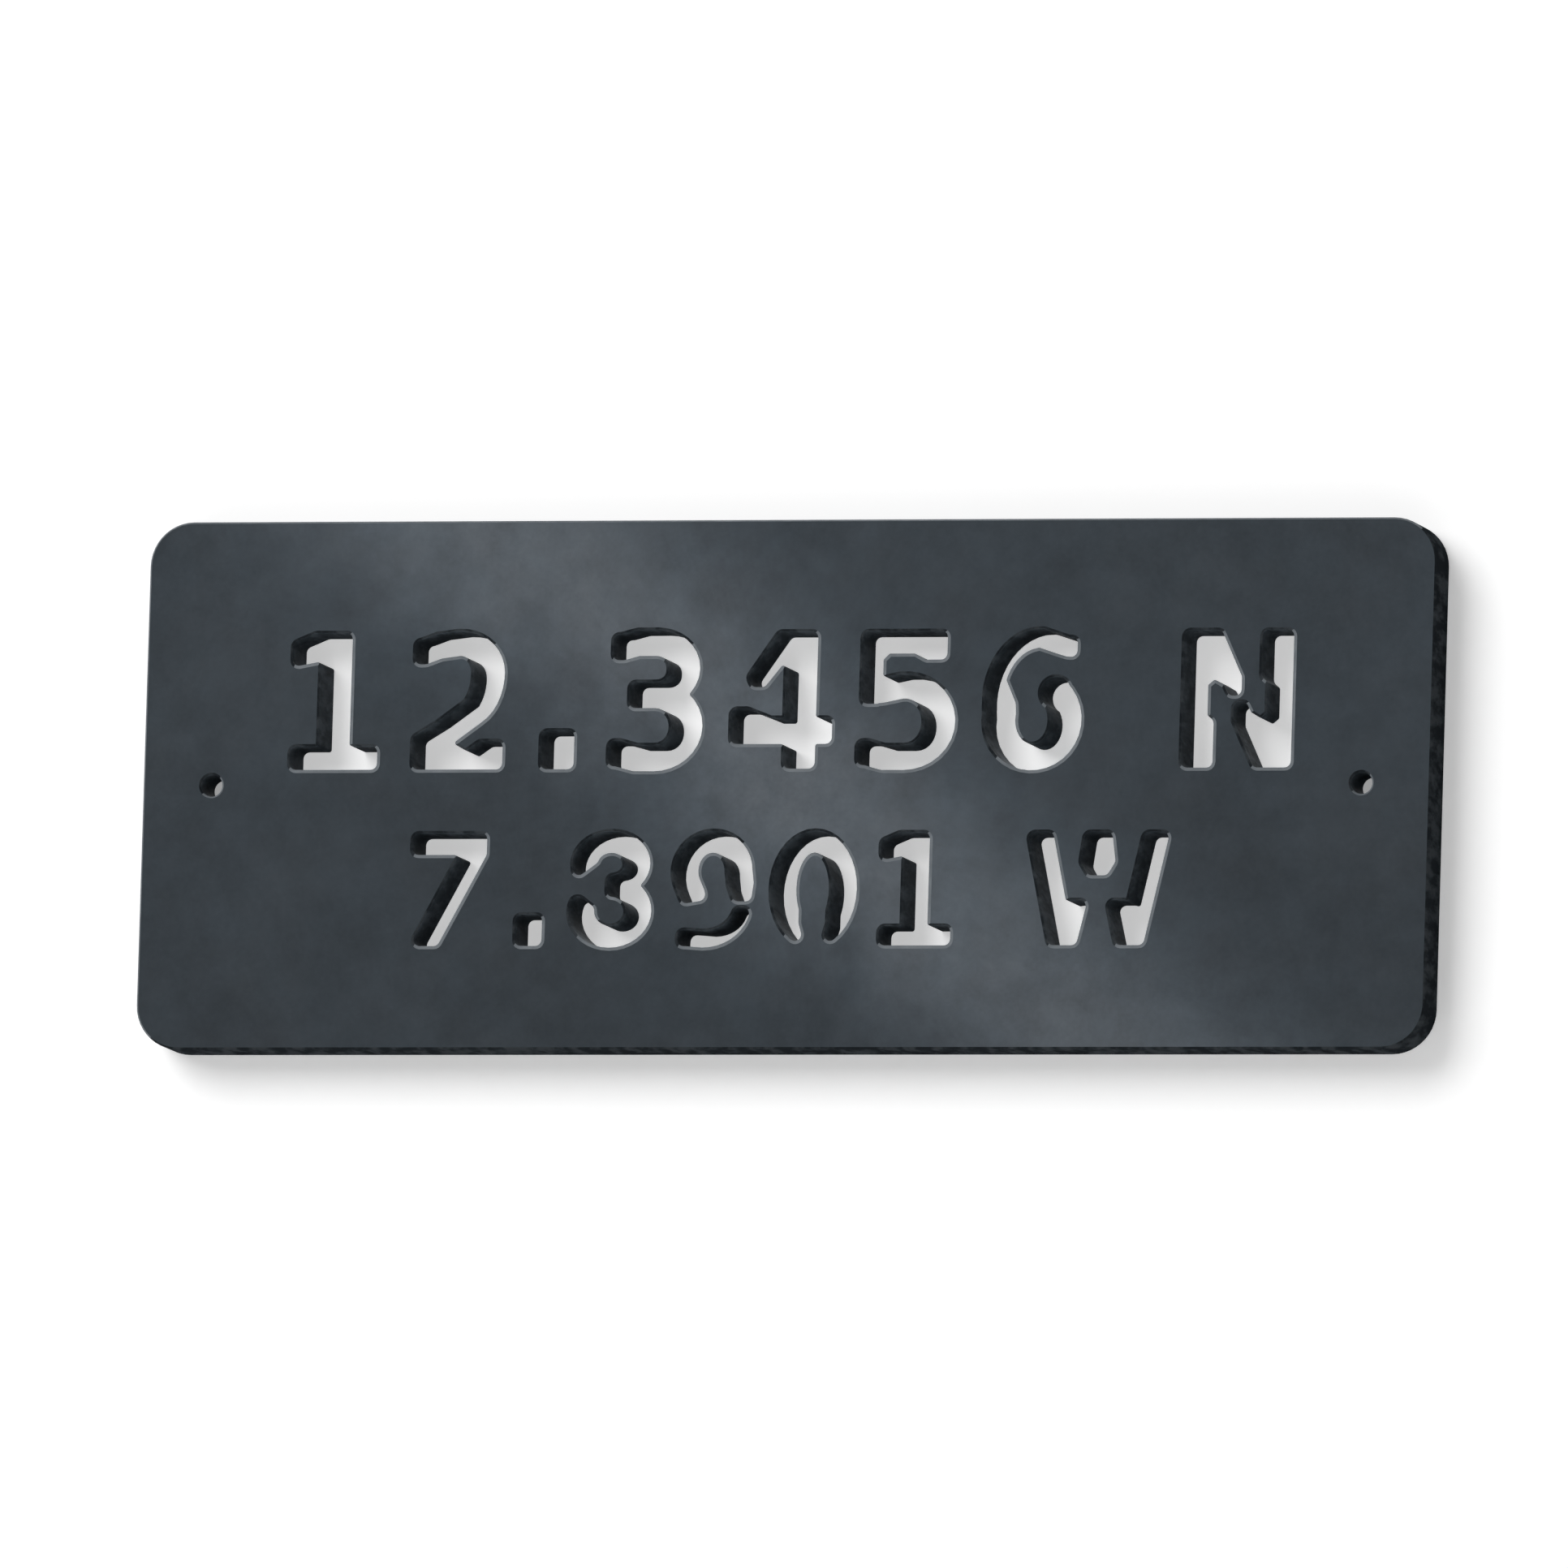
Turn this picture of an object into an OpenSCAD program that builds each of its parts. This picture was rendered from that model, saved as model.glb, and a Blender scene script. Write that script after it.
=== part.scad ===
/* [Plate] */
// Length of the plate, left to right
plate_w = 300; // [280:5:400]
// Height of the plate
plate_h = 120; // [110:5:180]
// Thickness of the plate
plate_t = 12; // [4:1:16]
// Radius of the plate's four corners
plate_corner_r = 10; // [4:1:20]
// Flat that breaks the sharp edge of the plate and of its screw holes
edge_break = 0.4; // [0.2:0.1:1]

/* [Screw holes] */
// Diameter of each screw hole
hole_d = 5; // [3:0.5:6.5]
// Distance of each screw hole from the end of the plate
hole_inset = 16; // [12:1:20]

/* [Upper row] */
// Characters cut out of the upper row
upper_text = "12.3456 N"; // ["12.3456 N", "09.8765 N", "88.4000 N"]
// Height of its flat-topped characters
upper_cap = 31.2; // [26:0.2:34]
// Width of its numerals
upper_numeral_w = 22.8; // [20:0.2:25]
// Width of its upright strokes
upper_stem = 7.4; // [6.4:0.2:7.8]
// Thickness of its level strokes
upper_bar = 6; // [5:0.2:6.6]
// Distance from one numeral to the next
upper_pitch = 29.1; // [28:0.1:30]
// Height of the row's foot above the middle of the plate
upper_foot = 3.5; // [2.5:0.5:8]

/* [Lower row] */
// Characters cut out of the lower row
lower_text = "7.8901 W"; // ["7.8901 W", "0.1234 W", "6.9988 W"]
// Height of its flat-topped characters
lower_cap = 25.7; // [22:0.1:28]
// Width of its numerals
lower_numeral_w = 18.6; // [17:0.2:20]
// Width of its upright strokes
lower_stem = 6; // [5.2:0.2:6.4]
// Thickness of its level strokes
lower_bar = 5; // [4.4:0.2:5.6]
// Distance from one numeral to the next
lower_pitch = 23.7; // [23:0.1:26]
// Depth of the row's foot below the middle of the plate
lower_foot = 36.6; // [34:0.5:44]

/* [Stencil] */
// Width of the bridges that hold the middles of the characters
bridge_w = 4.8; // [3:0.2:6]
// Width of the narrow web across the diagonal of the N and the shoulder of the nine
web_w = 1.3; // [1:0.1:2]
// Radius on the corners of every cut
cut_r = 1.45; // [0.8:0.05:1.6]

/* [Hidden] */
// Overrun of a cut beyond the face that it passes through
overrun = 1;
hole_x = plate_w / 2 - hole_inset;
// Radius where the plate points into a cut: two of them fit inside the narrow web
heel_r = 0.45 * web_w;
upright = [90, 0, 0];
// Sides of a full circle: a cut's round corner takes a quarter of them
$fn = 20;

// Rise of the round heads and feet beyond the flat ones, as a share of their height
overshoot = 0.016;

// Widths that a character takes up in its row, as multiples of the pitch
point_step = 0.6;
space_step = 0.6;
n_step = 1.06;
w_step = 1.36;

function unit(v) = v / norm(v);
function oval_arc(c, rx, rz, a0, a1, steps = 16) =
    [for (i = [0 : steps])
        let (a = a0 + (a1 - a0) * i / steps)
        c + [rx * cos(a), rz * sin(a)]];
function step_of(ch) =
    ch == "." ? point_step :
    ch == " " ? space_step :
    ch == "N" ? n_step :
    ch == "W" ? w_step : 1;
function steps_to(row, i) = i == 0 ? 0 : steps_to(row, i - 1) + step_of(row[i - 1]);

// A pen stroke along a path: as wide as a stem where it runs upright and as a bar where it runs level, and
// at its first and last points the given shares of that width
module stroke(path, stem, bar, first = 1, final = 1) {
    last = len(path) - 1;
    half = [for (i = [0 : last])
        let (d = unit(path[min(i + 1, last)] - path[max(i - 1, 0)]))
        let (share = i == 0 ? first : i == last ? final : 1)
        [-d.y, d.x] * (bar + (stem - bar) * pow(d.y, 2)) * share / 2];
    polygon(concat(
        [for (i = [0 : last]) path[i] + half[i]],
        [for (i = [last : -1 : 0]) path[i] - half[i]]));
}

// A closed ring with the same two widths
module ring(c, rx, rz, stem, bar) {
    difference() {
        polygon(oval_arc(c, rx + stem / 2, rz + bar / 2, 10, 360, 35));
        polygon(oval_arc(c, rx - stem / 2, rz - bar / 2, 10, 360, 35));
    }
}

module slab(x0, z0, x1, z1) {
    translate([x0, z0])
        square([x1 - x0, z1 - z0]);
}

// A slanted limb with level ends: from x0 at its foot to x1 at its head
module limb(x0, x1, h, width) {
    polygon([[x0 - width / 2, 0], [x0 + width / 2, 0], [x1 + width / 2, h], [x1 - width / 2, h]]);
}

// 0: an oval, open at its foot so that a bridge holds its middle, which keeps its width almost down to it
module nought(h, w, s, b) {
    gap = 0.54 * bridge_w;
    middle = 0.18 * w;
    difference() {
        ring([0, h / 2], (w - s) / 2 + 0.04 * w, (h - b) / 2 + overshoot * h, s, b);
        polygon([[-gap, -h], [gap, -h], [gap, 0.1 * h], [middle, 0.2 * h], [middle, h / 2],
            [-middle, h / 2], [-middle, 0.2 * h], [-gap, 0.1 * h]]);
    }
}

// 1: a stem with a flag at its head and a level foot
module one(h, w, s, b) {
    foot = 0.45 * w;
    slab(-s / 2, 0, s / 2, h);
    slab(-foot, 0, foot, 0.9 * b);
    polygon([[-foot, 0.75 * h], [-foot, 0.93 * h], [-0.22 * w, h], [0, h],
        [0, 0.79 * h], [-s / 2, 0.79 * h]]);
}

// 2: a hooked head that runs down into a diagonal, and a level foot that swells at its end
module two(h, w, s, b) {
    middle = [0, 0.7 * h];
    rx = (w - s) / 2 - 0.04 * w;
    hook = h - 0.74 * b;
    stroke(concat(
        [[-0.47 * w, hook], [-0.38 * w, hook], [-0.22 * w, h - 0.52 * b]],
        oval_arc(middle, rx, 0.3 * h - b / 2 + overshoot * h, 92, 0, 9),
        oval_arc(middle, rx, 0.32 * h, -6, -60, 6),
        [[-0.27 * w, 0.2 * h], [-0.34 * w, 0.15 * h]]), s, 0.95 * b);
    polygon([[-0.47 * w, 0], [-0.47 * w, 0.24 * h], [-0.2 * w, 0.36 * h], [-0.07 * w, 0.32 * h],
        [-0.07 * w, 0.2 * h], [0.08 * w, 0.72 * b], [0.22 * w, 0.21 * h], [0.46 * w, 0.21 * h],
        [0.46 * w, 0]]);
}

// 3: two bowls that meet in a short bar
module three(h, w, s, b) {
    waist = 0.54 * h;
    rise = overshoot * h;
    axis_x = -0.03 * w;
    head_rz = (h + rise - b / 2 - waist) / 2;
    foot_rz = (waist + rise - b / 2) / 2;
    stroke(concat(
        [[-0.48 * w, h - 0.58 * b], [-0.38 * w, h - 0.58 * b], [-0.22 * w, h - 0.42 * b]],
        oval_arc([axis_x, waist + head_rz], (w - s) / 2 - 0.05 * w, head_rz, 90, -90),
        [[-0.3 * w, waist]]), s, b);
    stroke(concat(
        [[-0.3 * w, waist]],
        oval_arc([axis_x, waist - foot_rz], (w - s) / 2 - 0.01 * w, foot_rz, 90, -90),
        [[-0.22 * w, 0.42 * b], [-0.4 * w, 0.6 * b], [-0.5 * w, 0.6 * b]]), s, b);
}

// 4: a stem, a level arm and a diagonal that stops short of the arm, where a bridge holds the middle
module four(h, w, s, b) {
    stem_x = 0.18 * w;
    arm_z = 0.18 * h;
    lobe = arm_z + 1.35 * b;
    limb_foot = lobe + bridge_w;
    slab(stem_x - s / 2, 0, stem_x + s / 2, h);
    polygon([[-0.53 * w, arm_z], [0.51 * w, arm_z], [0.51 * w, arm_z + b], [-0.12 * w, arm_z + b],
        [-0.36 * w, lobe], [-0.53 * w, lobe]]);
    polygon([[-0.06 * w, h], [stem_x, h], [stem_x, 0.75 * h], [-0.02 * w, 0.75 * h],
        [-0.19 * w, limb_foot], [-0.32 * w, limb_foot], [-0.37 * w, limb_foot + 0.4 * b]]);
}

// 5: a level head, a short stem and a bowl
module five(h, w, s, b) {
    left = -0.48 * w;
    right = 0.39 * w;
    thin = 0.68 * s;
    head_z = h - 0.86 * b;
    terminal_z = 0.79 * h;
    rise = overshoot * h;
    rz = (0.6 * h + rise - b / 2) / 2;
    slab(left, 0.47 * h, left + thin, h);
    polygon([[left, h], [right, h], [right, terminal_z], [0.17 * w, terminal_z], [0.06 * w, head_z],
        [left + thin + 0.06 * w, head_z], [left + thin, head_z - 0.06 * w], [left, head_z - 0.06 * w]]);
    stroke(concat(
        [[left + thin / 3, 0.56 * h], [left + thin, 0.57 * h]],
        oval_arc([-0.03 * w, b / 2 - rise + rz], (w - s) / 2 + 0.02 * w, rz, 96, -90),
        [[-0.24 * w, 0.42 * b], [-0.41 * w, 0.6 * b], [-0.51 * w, 0.6 * b]]), s, 0.95 * b);
}

// 6: a thin hook that runs down into a heavy bowl, which curls in and stops short, where a bridge holds
// the middle
module six(h, w, s, b) {
    thin = 0.74 * b;
    hook_z = h - 0.62 * b;
    bowl_z = 0.35 * h;
    bowl_rx = (w - s) / 2;
    bowl_rz = bowl_z + overshoot * h - b / 2;
    curl = 408;
    stroke(concat(
        [[0.44 * w, hook_z], [0.34 * w, hook_z], [0.24 * w, hook_z + 0.12 * b]],
        oval_arc([0.07 * w, h / 2], (w - thin) / 2 + 0.07 * w, (h - thin) / 2 + overshoot * h, 90, 185, 12)
        ), thin, thin, 1.1);
    stroke(concat(
        [[-bowl_rx, 0.66 * h], [-bowl_rx, 0.47 * h]],
        oval_arc([0, bowl_z], bowl_rx, bowl_rz, 170, curl, 22)), s, b, 0.3);
    translate([bowl_rx * cos(curl), bowl_z + bowl_rz * sin(curl)])
        circle(d = 0.98 * s);
}

// 7: a level head and a diagonal
module seven(h, w, s, b) {
    half = 0.47 * w;
    foot = -0.12 * w;
    limb = 1.1 * s;
    polygon([[-half, h], [half, h], [half, h - b], [foot, 0], [foot - limb, 0],
        [half - limb, h - b], [-half, h - b]]);
}

// 8: two rings, parted at the left of the waist, where a bridge that widens inwards holds both middles
module eight(h, w, s, b) {
    waist = 0.53 * h;
    rise = overshoot * h;
    head_rz = (h + rise - b / 2 - waist) / 2;
    foot_rz = (waist + rise - b / 2) / 2;
    gap = bridge_w / 2;
    wide = 0.19 * h;
    difference() {
        union() {
            ring([0, waist + head_rz], (w - s) / 2 - 0.01 * w, head_rz, s, b);
            ring([0, waist - foot_rz], (w - s) / 2 + 0.02 * w, foot_rz, s, b);
        }
        translate([0, waist])
            polygon([[-w, -gap], [-w, gap], [-0.38 * w, gap], [-0.2 * w, wide], [-0.05 * w, gap],
                [-0.05 * w, -gap], [-0.2 * w, -wide], [-0.38 * w, -gap]]);
    }
}

// 9: a bowl whose side thins as it runs down to a narrow web, and a thin tail that sweeps back below it
module nine(h, w, s, b) {
    rise = overshoot * h;
    bowl_z = 0.66 * h;
    bowl_rx = (w - s) / 2;
    web_z = 0.365 * h;
    thin = 0.76 * b;
    tail_x = -0.1 * w;
    tail_rx = 0.49 * w;
    difference() {
        union() {
            stroke(concat(
                [[-0.23 * w, 0.385 * h], [-0.245 * w, 0.45 * h]],
                oval_arc([0, bowl_z], bowl_rx, h + rise - b / 2 - bowl_z, 205, 0, 20),
                [[0.36 * w, 0.54 * h], [0.39 * w, web_z]]), s, b, 1, 0.62);
            stroke(concat(
                oval_arc([tail_x, web_z], tail_rx, web_z + rise - thin / 2, 0, -90, 10),
                [[-0.28 * w, 0.46 * thin], [-0.42 * w, 0.5 * thin]]), thin, thin);
        }
        slab(0.1 * w, web_z - web_w / 2, 0.6 * w, web_z + web_w / 2);
    }
}

module full_point(h, w, s, b) {
    slab(-0.53 * s, 0, 0.53 * s, 1.2 * s);
}

// N: two like cuts, turned half round from each other, whose tips leave a narrow web in the diagonal
module letter_n(h, w, s, b) {
    half = 0.56 * w;
    inner = -half + s;
    pinched = -half + 0.8 * s;
    tip = 0.04 * w;
    for (turn = [0, 180])
        translate([0, h / 2])
            rotate(turn)
                polygon([[-half, -h / 2], [-half, h / 2], [-half + 1.18 * s, h / 2], [tip, 0.16 * h],
                    [tip, web_w / 2], [-2.2 * tip, web_w / 2], [-3.6 * tip, 0.1 * h], [inner, 0.14 * h],
                    [pinched, 0.1 * h], [pinched, -0.12 * h], [inner, -0.16 * h], [inner, -h / 2]]);
}

// W: two feet and a round-bottomed peak, parted by bridges across the two inner limbs
module letter_w(h, w, s, b) {
    stub_h = 0.4 * h;
    peak_z = stub_h + 1.15 * bridge_w;
    bulge_z = peak_z + 0.12 * h;
    for (side = [-1, 1]) {
        limb(side * 0.43 * w, side * 0.73 * w, h, s);
        limb(side * 0.38 * w, side * 0.25 * w, stub_h, 0.84 * s);
    }
    polygon([[-0.17 * w, h], [0.17 * w, h], [0.22 * w, bulge_z], [0.12 * w, peak_z],
        [-0.12 * w, peak_z], [-0.22 * w, bulge_z]]);
}

module character(ch, h, w, s, b) {
    if (ch == "0") nought(h, w, s, b);
    if (ch == "1") one(h, w, s, b);
    if (ch == "2") two(h, w, s, b);
    if (ch == "3") three(h, w, s, b);
    if (ch == "4") four(h, w, s, b);
    if (ch == "5") five(h, w, s, b);
    if (ch == "6") six(h, w, s, b);
    if (ch == "7") seven(h, w, s, b);
    if (ch == "8") eight(h, w, s, b);
    if (ch == "9") nine(h, w, s, b);
    if (ch == ".") full_point(h, w, s, b);
    if (ch == "N") letter_n(h, w, s, b);
    if (ch == "W") letter_w(h, w, s, b);
}

// One row of characters, cut right through and centred on the plate, with every corner rounded
module row_of_cuts(row, h, w, s, b, pitch) {
    half = steps_to(row, len(row)) / 2;
    for (i = [0 : len(row) - 1])
        if (row[i] != " ")
            translate([pitch * (steps_to(row, i) + step_of(row[i]) / 2 - half), 0, -overrun])
                linear_extrude(plate_t + 2 * overrun)
                    offset(r = -heel_r)
                        offset(r = heel_r + cut_r)
                            offset(delta = -cut_r)
                                character(row[i], h, w, s, b);
}

// A bar whose four long edges are broken by a flat
module broken_bar(width, depth) {
    side = width / 2;
    rotate(upright)
        linear_extrude(depth, center = true)
            polygon([[edge_break - side, 0], [side - edge_break, 0], [side, edge_break],
                [side, plate_t - edge_break], [side - edge_break, plate_t], [edge_break - side, plate_t],
                [-side, plate_t - edge_break], [-side, edge_break]]);
}

// The blank, lying on its back: a plate with round corners and a broken edge all round
module blank() {
    straight_w = plate_w - 2 * plate_corner_r;
    straight_h = plate_h - 2 * plate_corner_r;
    rim_r = plate_corner_r - edge_break;
    broken_bar(plate_w, straight_h);
    rotate(90)
        broken_bar(plate_h, straight_w);
    for (x = [-1, 1], y = [-1, 1])
        translate([x * straight_w / 2, y * straight_h / 2])
            rotate_extrude()
                polygon([[0, 0], [rim_r, 0], [plate_corner_r, edge_break],
                    [plate_corner_r, plate_t - edge_break], [rim_r, plate_t], [0, plate_t]]);
}

// A drilled hole, with its rim broken at both faces
module screw_hole() {
    flare = edge_break + overrun;
    translate([0, 0, -overrun]) {
        cylinder(h = plate_t + 2 * overrun, d = hole_d);
        cylinder(h = flare, r1 = hole_d / 2 + flare, r2 = hole_d / 2);
        translate([0, 0, plate_t + 2 * overrun - flare])
            cylinder(h = flare, r1 = hole_d / 2, r2 = hole_d / 2 + flare);
    }
}

// The whole plaque: one plate, upright, with the middle of its back at the origin and its front towards -Y
module plate() {
    color([0.25, 0.27, 0.3])
        rotate(upright)
            difference() {
                blank();
                for (x = [-hole_x, hole_x])
                    translate([x, 0])
                        screw_hole();
                translate([0, upper_foot])
                    row_of_cuts(upper_text, upper_cap, upper_numeral_w, upper_stem, upper_bar, upper_pitch);
                translate([0, -lower_foot])
                    row_of_cuts(lower_text, lower_cap, lower_numeral_w, lower_stem, lower_bar, lower_pitch);
            }
}

plate();
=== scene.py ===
import math

import bmesh
import bpy
from mathutils import Matrix, Vector


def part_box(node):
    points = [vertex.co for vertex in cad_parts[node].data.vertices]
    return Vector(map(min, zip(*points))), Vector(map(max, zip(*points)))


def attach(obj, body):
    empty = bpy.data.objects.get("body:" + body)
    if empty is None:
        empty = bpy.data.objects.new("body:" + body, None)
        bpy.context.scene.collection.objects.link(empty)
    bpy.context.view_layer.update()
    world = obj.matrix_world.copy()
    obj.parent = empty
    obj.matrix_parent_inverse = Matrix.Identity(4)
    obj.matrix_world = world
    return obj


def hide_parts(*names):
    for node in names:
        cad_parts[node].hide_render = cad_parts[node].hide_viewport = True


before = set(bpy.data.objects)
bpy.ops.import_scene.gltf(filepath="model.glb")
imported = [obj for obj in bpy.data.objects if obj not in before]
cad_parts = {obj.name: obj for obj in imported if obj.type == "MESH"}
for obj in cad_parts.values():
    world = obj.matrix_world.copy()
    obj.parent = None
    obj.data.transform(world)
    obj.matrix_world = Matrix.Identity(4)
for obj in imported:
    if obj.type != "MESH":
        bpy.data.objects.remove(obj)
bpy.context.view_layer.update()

# The camera
# It looks at the middle of the plaque's front from far off, so that the edges stay parallel, and stands to
# the right of it and a little below, so that each cut shows its left and upper walls.
camera_azimuth = math.radians(15.2)
camera_elevation = math.radians(-6.8)
camera_roll = math.radians(1.7)
camera_distance = 9.0
picture_width = 0.3529

plate_low, plate_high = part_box("plate")
front_middle = Vector((0, plate_low.y, 0))
towards_camera = Vector(
    (
        math.sin(camera_azimuth) * math.cos(camera_elevation),
        -math.cos(camera_azimuth) * math.cos(camera_elevation),
        math.sin(camera_elevation),
    )
)
camera = bpy.data.objects.new("camera", bpy.data.cameras.new("camera"))
bpy.context.scene.collection.objects.link(camera)
camera.data.lens = camera.data.sensor_width * camera_distance / picture_width
camera.data.clip_end = 3 * camera_distance
camera.matrix_world = (
    Matrix.Translation(front_middle + camera_distance * towards_camera)
    @ (-towards_camera).to_track_quat("-Z", "Y").to_matrix().to_4x4()
    @ Matrix.Rotation(camera_roll, 4, "Z")
)
bpy.context.scene.camera = camera

# The studio
# A wide soft lamp at the upper left gives the shadow at the lower right, and a like one behind the wall
# lights the back. The world fills in, and the camera and every reflection see it as plain white.
bpy.context.scene.view_settings.view_transform = "Standard"


class Wire:
    """A value in a material or the world: sums on it add Math nodes, and node() adds any other node."""

    def __init__(self, tree, socket=None):
        self.tree = tree
        self.socket = socket

    def node(self, kind, settings=None, sockets=None, out=0):
        made = self.tree.nodes.new(kind)
        for name, value in (settings or {}).items():
            if name == "stops":
                for element, (place, colour) in zip(made.color_ramp.elements, value):
                    element.position = place
                    element.color = (*colour, 1)
            else:
                setattr(made, name, value)
        for name, value in (sockets or {}).items():
            if isinstance(value, Wire):
                self.tree.links.new(value.socket, made.inputs[name])
            else:
                made.inputs[name].default_value = value
        return Wire(self.tree, made.outputs[out] if made.outputs else None)

    def sum(self, operation, *values):
        return self.node("ShaderNodeMath", {"operation": operation}, dict(enumerate(values)))

    def __add__(self, other):
        return self.sum("ADD", self, other)

    def __sub__(self, other):
        return self.sum("SUBTRACT", self, other)

    def __rsub__(self, other):
        return self.sum("SUBTRACT", other, self)

    def __mul__(self, other):
        return self.sum("MULTIPLY", self, other)

    __radd__ = __add__
    __rmul__ = __mul__


def seen(tree):
    """One where the camera, a reflection or a clear body looks, and nought for plain light."""
    look = [
        Wire(tree).node("ShaderNodeLightPath", out=ray)
        for ray in ("Is Camera Ray", "Is Glossy Ray", "Is Transmission Ray")
    ]
    return look[0] + look[1] + look[2]


fill_light = 0.24
world = bpy.data.worlds.new("studio")
world.use_nodes = True
bpy.context.scene.world = world
world.node_tree.nodes.clear()
sky = seen(world.node_tree)
sky = sky.node(
    "ShaderNodeBackground", sockets={"Color": (1, 1, 1, 1), "Strength": sky * (1 - fill_light) + fill_light}
)
sky.node("ShaderNodeOutputWorld", sockets={"Surface": sky})

lamp_distance = 3.2
lamp_size = 2.4
lamp_power = 95
# Each lamp's name, its side of the wall, and its angles to the left and upwards in degrees
lamps = (("front_lamp", 1, 32, 35), ("rear_lamp", -1, 12, 20))
for name, side, left, rise in lamps:
    towards_lamp = Vector((-math.tan(math.radians(left)), -side, math.tan(math.radians(rise)))).normalized()
    lamp = bpy.data.objects.new(name, bpy.data.lights.new(name, "AREA"))
    lamp.data.size = lamp_size
    lamp.data.energy = lamp_power
    lamp.visible_camera = False
    lamp.location = front_middle + lamp_distance * towards_lamp
    lamp.rotation_euler = (-towards_lamp).to_track_quat("-Z", "Y").to_euler()
    bpy.context.scene.collection.objects.link(lamp)

# The wall and the floor
# The plaque hangs on a pale painted wall, which its cuts show, over a pale floor. Both keep the plaque's
# shadow, and neither hides it, or keeps light from it, from behind or below.
wall_gap = 0.0004
floor_depth = 1.5
stage_reach = 3.0
stage_colour = (0.86, 0.86, 0.86, 1)
# The camera and reflections see the wall and the floor brighter than they are, by this much
stage_lift = 0.30
# and the wall by this much more where the cuts show it, as painted light on the plaque's shade there, this
# far to each side and up and down
cut_painted_light = 0.18
cut_reach = (0.125, 0.045)


def stage_plane(name, corners):
    mesh = bpy.data.meshes.new(name)
    mesh.from_pydata(corners, [], [(0, 1, 2, 3)])
    plane = bpy.data.objects.new(name, mesh)
    bpy.context.scene.collection.objects.link(plane)
    material = bpy.data.materials.new(name)
    material.use_nodes = True
    tree = material.node_tree
    tree.nodes.clear()
    paint = Wire(tree).node("ShaderNodeBsdfDiffuse", sockets={"Color": stage_colour})
    spot = Wire(tree).node("ShaderNodeNewGeometry", out="Position")
    along = spot.node("ShaderNodeSeparateXYZ", sockets={0: spot}, out="X")
    up = spot.node("ShaderNodeSeparateXYZ", sockets={0: spot}, out="Z")
    # Where the cuts show the wall, painted light lightens the plaque's shade
    in_cuts = along.sum("LESS_THAN", along.sum("ABSOLUTE", along), cut_reach[0])
    in_cuts = in_cuts * along.sum("LESS_THAN", up.sum("ABSOLUTE", up), cut_reach[1])
    strength = seen(tree) * (in_cuts * cut_painted_light + stage_lift)
    lift = Wire(tree).node("ShaderNodeEmission", sockets={"Strength": strength})
    front = Wire(tree).node("ShaderNodeAddShader", sockets={0: paint, 1: lift})
    clear = Wire(tree).node("ShaderNodeBsdfTransparent")
    behind = Wire(tree).node("ShaderNodeNewGeometry", out="Backfacing")
    shadow = Wire(tree).node("ShaderNodeLightPath", out="Is Shadow Ray")
    passes = behind.sum("MAXIMUM", behind, shadow)
    surface = Wire(tree).node("ShaderNodeMixShader", sockets={0: passes, 1: front, 2: clear})
    surface.node("ShaderNodeOutputMaterial", sockets={"Surface": surface})
    mesh.materials.append(material)


stage_plane(
    "wall",
    [
        (-stage_reach, wall_gap, -floor_depth),
        (stage_reach, wall_gap, -floor_depth),
        (stage_reach, wall_gap, stage_reach),
        (-stage_reach, wall_gap, stage_reach),
    ],
)
stage_plane(
    "floor",
    [
        (-stage_reach, -2 * stage_reach, -floor_depth),
        (stage_reach, -2 * stage_reach, -floor_depth),
        (stage_reach, wall_gap, -floor_depth),
        (-stage_reach, wall_gap, -floor_depth),
    ],
)

# The plate
# One piece of hot-rolled steel, cut right through by a torch and held by two screws. Its faces keep their
# blue-grey scale under a painted sheen band, and the cut walls are nearly black. The filed rims carry a
# painted highlight where they face up or left, and painted shade where they face down or right, as the
# outer edge does.
rim_width = 0.0006
rim_depth = 0.0002
# This makes the rims that face up or left wider, and the others narrower
rim_shift = Vector((0.00014, 0, -0.00014))
# Points nearer together than this are one point
same_place = 0.000002
# Walls farther out than this, to a side or up or down, are the plate's outer edge
outer_reach = (0.139, 0.049)
# How squarely a side faces the front or the back, from 0 to 1: a broken edge is between these two
flat_facing = (0.3, 0.9)
# and a wall that is cut straight through is below this
wall_facing = 0.01
# Faces that turn more than this from each other meet in a sharp edge
sharp_turn = math.radians(30)
cut_wall_slot, painted_shade_slot, scale_slot, highlit_rim_slot = 0, 1, 2, 3
plate_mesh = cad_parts["plate"].data.copy()
plate_mesh.materials.clear()
plate_mesh.attributes.remove(plate_mesh.attributes["custom_normal"])
shape = bmesh.new()
shape.from_mesh(plate_mesh)
bmesh.ops.remove_doubles(shape, verts=shape.verts, dist=same_place)
shape.normal_update()


# Rims that face up or left, towards the front lamp, get a painted highlight, and the others painted shade
def rim_slot(side):
    return highlit_rim_slot if side.normal.z > side.normal.x else painted_shade_slot


for face in shape.faces:
    middle = face.calc_center_median()
    if flat_facing[0] < abs(face.normal.y) < flat_facing[1]:
        face.material_index = rim_slot(face)
    elif abs(middle.x) > outer_reach[0] or abs(middle.z) > outer_reach[1]:
        face.material_index = painted_shade_slot
    else:
        face.material_index = cut_wall_slot


# Walls that are nearly in line, with a turn whose sine is below this, meet halfway across their gap
least_turn = 0.01


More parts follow.
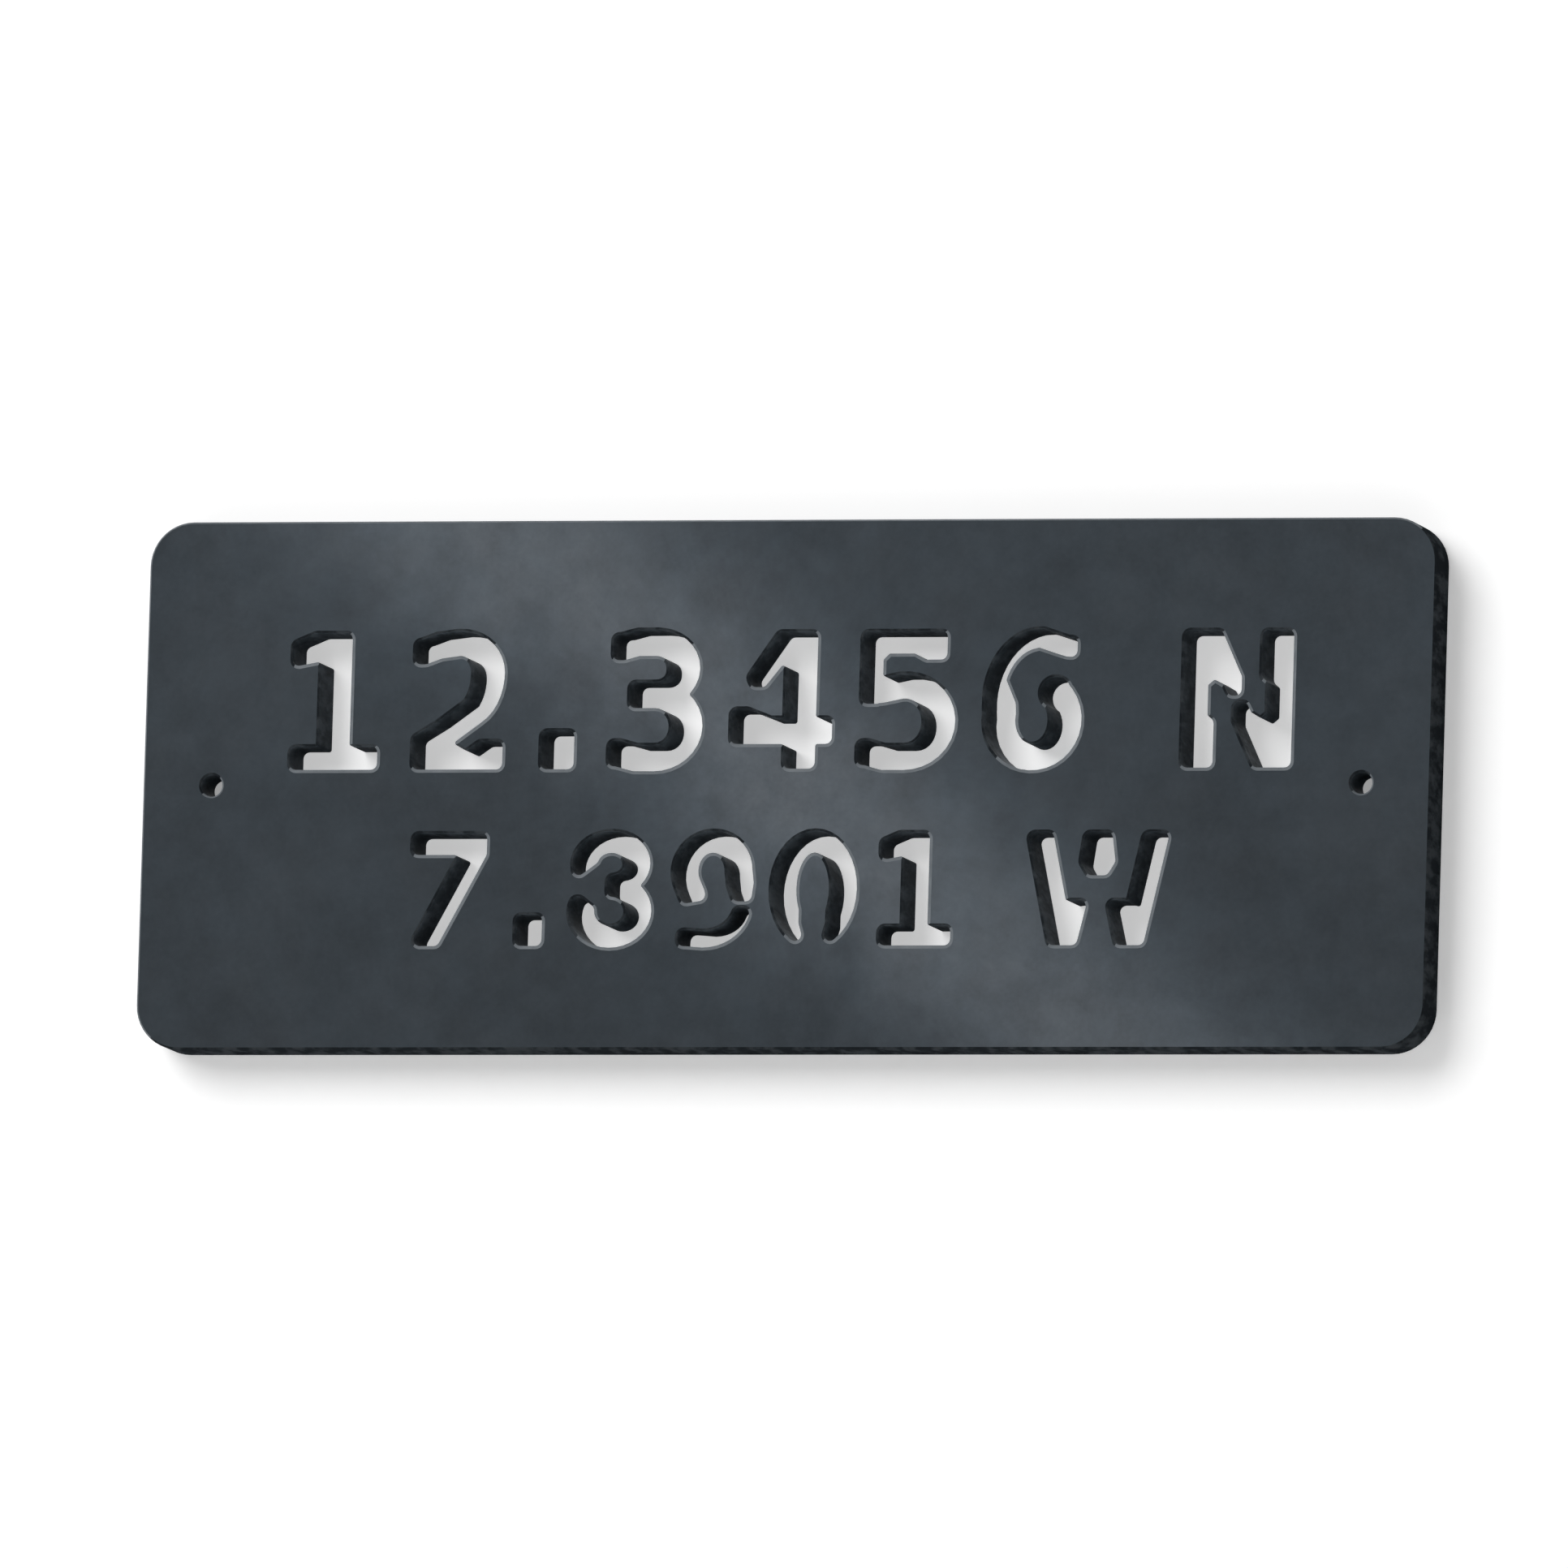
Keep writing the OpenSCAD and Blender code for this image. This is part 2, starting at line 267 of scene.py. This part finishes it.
def rim_corners(outline):
    """Where each wall's rim starts on the face. The rim of a very short wall starts there in a point."""
    kept = list(range(len(outline)))
    crossed = True
    while crossed:
        corners = []
        for before, after in zip(kept[-1:] + kept[:-1], kept):
            one, other = outline[before].face.normal, outline[after].face.normal
            meeting = outline[after].vert.co
            gap = outline[before].link_loop_next.vert.co - meeting
            along = (outline[after].link_loop_next.vert.co - meeting).normalized()
            turn = one.dot(along)
            meeting = meeting + (along * (one.dot(gap) / turn) if abs(turn) > least_turn else gap / 2)
            corners.append(meeting - rim_width * (one + other) / (1 + one.dot(other)))
        # A wall whose rim would start backwards is passed over, and its neighbours meet instead
        crossed = set()
        for wall, start, end in zip(kept, corners, corners[1:] + corners[:1]):
            loop = outline[wall]
            if (end - start).dot(loop.link_loop_next.vert.co - loop.vert.co) <= 0:
                crossed.add(wall)
        if crossed:
            kept = [wall for wall in kept if wall not in crossed]
    corner_of = {wall: shape.verts.new(corner + rim_shift) for wall, corner in zip(kept, corners)}
    starts = [corner_of[kept[0]]] * len(outline)
    for wall in reversed(range(kept[-1] + 1)):
        starts[wall] = corner_of.get(wall) or starts[wall + 1]
    return starts


def file_and_close(level, inwards):
    """Breaks the sharp rims of one face of the plate, and lays that face anew between them."""

    def on_level(part):
        return all(abs(vertex.co.y - level) < same_place for vertex in part.verts)

    bmesh.ops.delete(shape, geom=[face for face in shape.faces if on_level(face)], context="FACES")
    rims = []
    walls = {}
    for edge in shape.edges:
        if edge.is_boundary and on_level(edge):
            if abs(edge.link_faces[0].normal.y) < wall_facing:
                walls[edge.link_loops[0].vert] = edge.link_loops[0]
            else:
                rims.append(edge)
    while walls:
        outline = [walls.pop(next(iter(walls)))]
        while outline[-1].link_loop_next.vert in walls:
            outline.append(walls.pop(outline[-1].link_loop_next.vert))
        starts = rim_corners(outline)
        for wall, start, end in zip(outline, starts, starts[1:] + starts[:1]):
            sides = [wall.link_loop_next.vert, wall.vert, start]
            if start is not end:
                sides.append(end)
            start.co.y = level
            shape.faces.new(sides).material_index = rim_slot(wall.face)
            if start is not end:
                rims.append(shape.edges.get((start, end)))
        for wall in outline:
            wall.vert.co.y += rim_depth * inwards
    closed = bmesh.ops.triangle_fill(shape, edges=rims, use_beauty=True, normal=(0, -inwards, 0))
    for face in closed["geom"]:
        if isinstance(face, bmesh.types.BMFace):
            face.material_index = scale_slot
            if face.normal.y * inwards > 0:
                face.normal_flip()


file_and_close(plate_low.y, 1)
file_and_close(plate_high.y, -1)
shape.normal_update()
for face in shape.faces:
    face.smooth = face.material_index in (cut_wall_slot, painted_shade_slot)
for edge in shape.edges:
    edge.smooth = edge.calc_face_angle() < sharp_turn
shape.to_mesh(plate_mesh)
shape.free()


def steel_finish(name):
    material = bpy.data.materials.new(name)
    material.use_nodes = True
    material.node_tree.nodes.clear()
    plate_mesh.materials.append(material)
    return Wire(material.node_tree)


# The torch draws the scorch marks of a wall out through the plate
wall_draw = 0.35
scorch_range = (0.43, 0.61)
# The outer edge finish is the cut wall's scorched steel made darker still as painted shade; it goes on the
# plate's outer edge and on the rims that face down or right
for name, dull, bright, sheen in (
    ("cut_wall", (0.038, 0.048, 0.057), (0.080, 0.097, 0.112), 0.05),
    ("edge_painted_shade", (0.015, 0.018, 0.021), (0.040, 0.046, 0.051), 0.0),
):
    wall = steel_finish(name)
    place = wall.node("ShaderNodeTexCoord", out="Object")
    drawn = wall.node("ShaderNodeVectorMath", {"operation": "MULTIPLY"}, {0: place, 1: (1, wall_draw, 1)})
    scorch = wall.node(
        "ShaderNodeTexNoise",
        sockets={"Vector": drawn, "Scale": 330.0, "Detail": 3.0, "Roughness": 0.55},
    )
    stops = [(scorch_range[0], dull), (scorch_range[1], bright)]
    colour = wall.node("ShaderNodeValToRGB", {"stops": stops}, {0: scorch})
    relief = wall.node("ShaderNodeBump", sockets={"Strength": 0.6, "Distance": 0.0004, "Height": scorch})
    finish = wall.node(
        "ShaderNodeBsdfPrincipled",
        sockets={"Base Color": colour, "Roughness": 0.9, "Specular IOR Level": sheen, "Normal": relief},
    )
    finish.node("ShaderNodeOutputMaterial", sockets={"Surface": finish})

scale = steel_finish("mill_scale")
place = scale.node("ShaderNodeTexCoord", out="Object")
along = place.node("ShaderNodeSeparateXYZ", sockets={0: place}, out="X")
up = place.node("ShaderNodeSeparateXYZ", sockets={0: place}, out="Z")
soft = scale.node(
    "ShaderNodeTexNoise",
    sockets={"Vector": place, "Scale": 22.0, "Detail": 5.0, "Roughness": 0.55, "Distortion": 0.4},
)
mottle = scale.node(
    "ShaderNodeTexNoise",
    sockets={"Vector": place, "Scale": 110.0, "Detail": 4.0, "Roughness": 0.65},
)
grain = scale.node(
    "ShaderNodeTexNoise",
    sockets={"Vector": place, "Scale": 900.0, "Detail": 2.0, "Roughness": 0.6},
)
stain = scale.node(
    "ShaderNodeTexNoise",
    sockets={"Vector": place, "Scale": 45.0, "Detail": 4.0, "Roughness": 0.6},
)
noise_middle = 0.5
# A painted sheen, a paler band, slants down to the right across the middle of the plate, and wavers with
# the soft clouds
sheen_band_angle = math.radians(-40)
sheen_band_lift = 0.002
sheen_band_waver = 0.03
sheen_band_width = 0.026
across = up * math.cos(sheen_band_angle) - along * math.sin(sheen_band_angle) - sheen_band_lift
across = across + (soft - noise_middle) * sheen_band_waver
sheen_band = scale.sum("EXPONENT", (across * across) * (-1 / sheen_band_width**2))
# The face is also paler towards the top of the plate, and the scale is clouded
soft_cloud, mottle_cloud, grain_cloud = 0.7, 0.75, 0.2
clouds = 1 + (soft - noise_middle) * soft_cloud + (mottle - noise_middle) * mottle_cloud
clouds = clouds + (grain - noise_middle) * grain_cloud
# This lightness is the plain tone, the rise towards the top and the painted sheen band, all clouded
plain_light, light_by_height, sheen_band_light = 0.685, 0.9, 1.15
light = (plain_light + up * light_by_height + sheen_band * sheen_band_light) * clouds
# It is warmer in hue in the painted sheen band and in stains
cool_scale = (0.0385, 0.050, 0.061)
warm_scale = (0.044, 0.0505, 0.0575)
plain_warmth, sheen_band_warmth, stain_warmth = 0.1, 0.8, 1.2
tint = scale.node(
    "ShaderNodeValToRGB",
    {"stops": [(0.0, cool_scale), (1.0, warm_scale)]},
    {0: sheen_band * sheen_band_warmth + (stain - noise_middle) * stain_warmth + plain_warmth},
)
colour = scale.node("ShaderNodeVectorMath", {"operation": "SCALE"}, {0: tint, "Scale": light})
finish = scale.node(
    "ShaderNodeBsdfPrincipled",
    sockets={"Base Color": colour, "Roughness": 0.55, "Specular IOR Level": 0.12},
)
finish.node("ShaderNodeOutputMaterial", sockets={"Surface": finish})

# A painted highlight on the rims that face up or left, towards the front lamp
rim_highlight = steel_finish("rim_painted_highlight")
nick_range = (0.3, 0.7)
highlight_dull = (0.105, 0.119, 0.131)
highlight_bright = (0.138, 0.153, 0.167)
place = rim_highlight.node("ShaderNodeTexCoord", out="Object")
nicks = rim_highlight.node("ShaderNodeTexNoise", sockets={"Vector": place, "Scale": 300.0, "Detail": 2.0})
stops = [(nick_range[0], highlight_dull), (nick_range[1], highlight_bright)]
colour = rim_highlight.node("ShaderNodeValToRGB", {"stops": stops}, {0: nicks})
finish = rim_highlight.node(
    "ShaderNodeBsdfPrincipled",
    sockets={"Base Color": colour, "Roughness": 0.5, "Specular IOR Level": 0.12},
)
finish.node("ShaderNodeOutputMaterial", sockets={"Surface": finish})

plate = bpy.data.objects.new("cut_plate", plate_mesh)
bpy.context.scene.collection.objects.link(plate)
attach(plate, "root")
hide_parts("plate")
